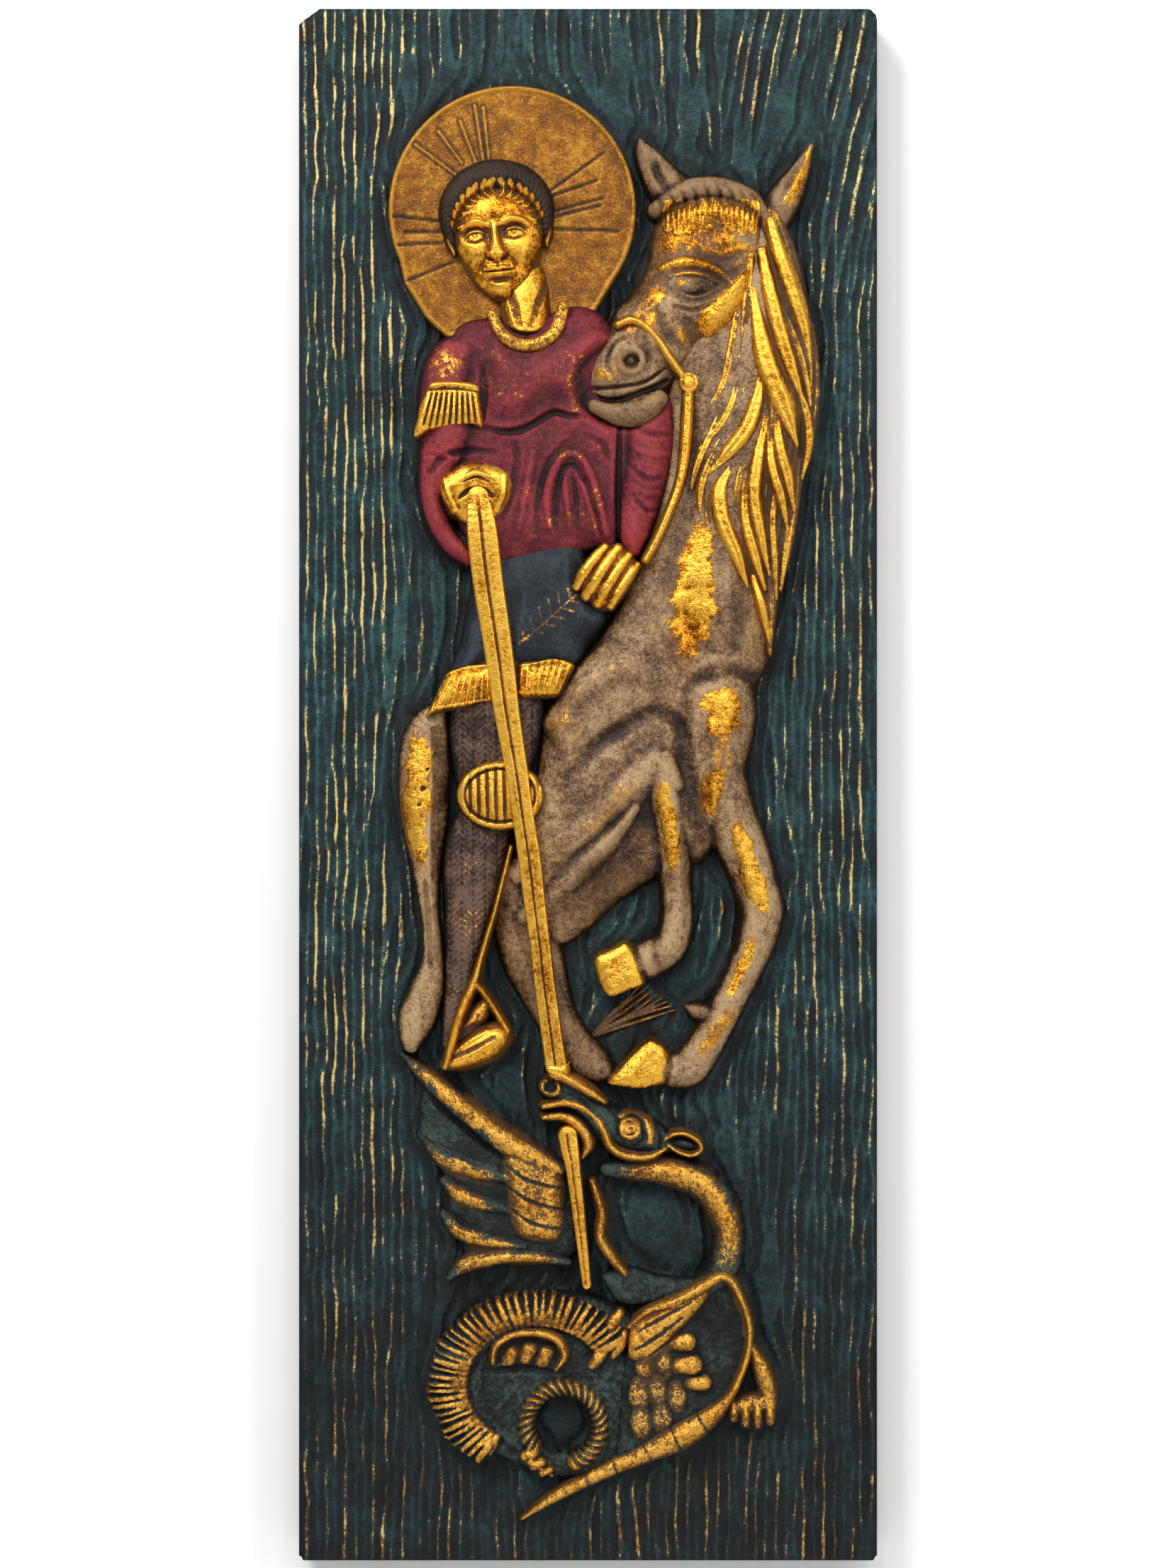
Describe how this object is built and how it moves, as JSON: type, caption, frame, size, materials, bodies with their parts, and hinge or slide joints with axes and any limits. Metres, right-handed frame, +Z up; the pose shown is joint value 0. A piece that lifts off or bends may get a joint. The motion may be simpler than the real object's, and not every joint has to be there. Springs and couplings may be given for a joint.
{
  "type": "religious wood panel",
  "caption": "Tall rectangular wall panel of carved, painted and gilt wood: haloed rider with a lance on a rearing horse above a winged dragon, in high relief.",
  "frame": {"origin": "middle of the flat back, where the panel lies against the wall", "axes": "+Z up along the panel's height, +X to the viewer's right, and the carved face looks along -Y"},
  "size_m": [0.272, 0.044, 0.73],
  "materials": {
    "painted_gilt_wood": "dark teal and burgundy paint, rubbed and worn gilding, satin"
  },
  "bodies": {
    "root": {"carved_panel": "painted_gilt_wood"}
  },
  "joints": []
}
